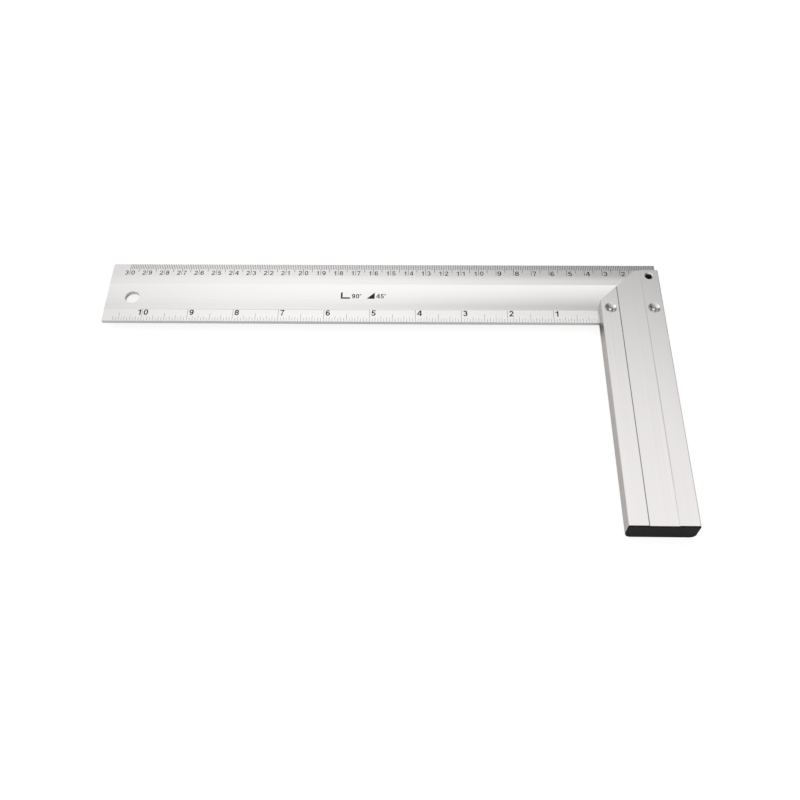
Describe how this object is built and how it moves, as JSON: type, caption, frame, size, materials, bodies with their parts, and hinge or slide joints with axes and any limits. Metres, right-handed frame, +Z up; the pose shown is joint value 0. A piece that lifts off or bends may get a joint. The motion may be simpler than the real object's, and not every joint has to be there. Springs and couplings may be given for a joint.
{
  "type": "try and mitre square",
  "caption": "Fixed try and mitre square: a graduated aluminium rule riveted at a right angle into a hollow aluminium stock with a 45 degree mitre and a black plastic end cap.",
  "frame": {"origin": "inner corner, where the blade's inner edge meets the stock's inner face, in the blade's mid-plane", "axes": "+X from the stock's inner face through the stock to its outer face, so the blade points to -X; +Y across the blade towards its outer edge, so the stock points to -Y; +Z up, from the stock's rounded back to its front with the sunk panel"},
  "size_m": [0.31, 0.1631, 0.0122],
  "materials": {
    "blade_metal": "satin anodised, fine lengthwise grain",
    "stock_metal": "matt anodised extrusion, fine lengthwise grain",
    "cap_plastic": "moulded, fine texture",
    "rivet_metal": "bright formed metal",
    "scale_ink": "thin printed marks on the blade"
  },
  "bodies": {
    "root": {"blade": "blade_metal", "handle": "stock_metal", "end_cap": "cap_plastic", "rivet_inner": "rivet_metal", "rivet_outer": "rivet_metal"}
  },
  "joints": []
}
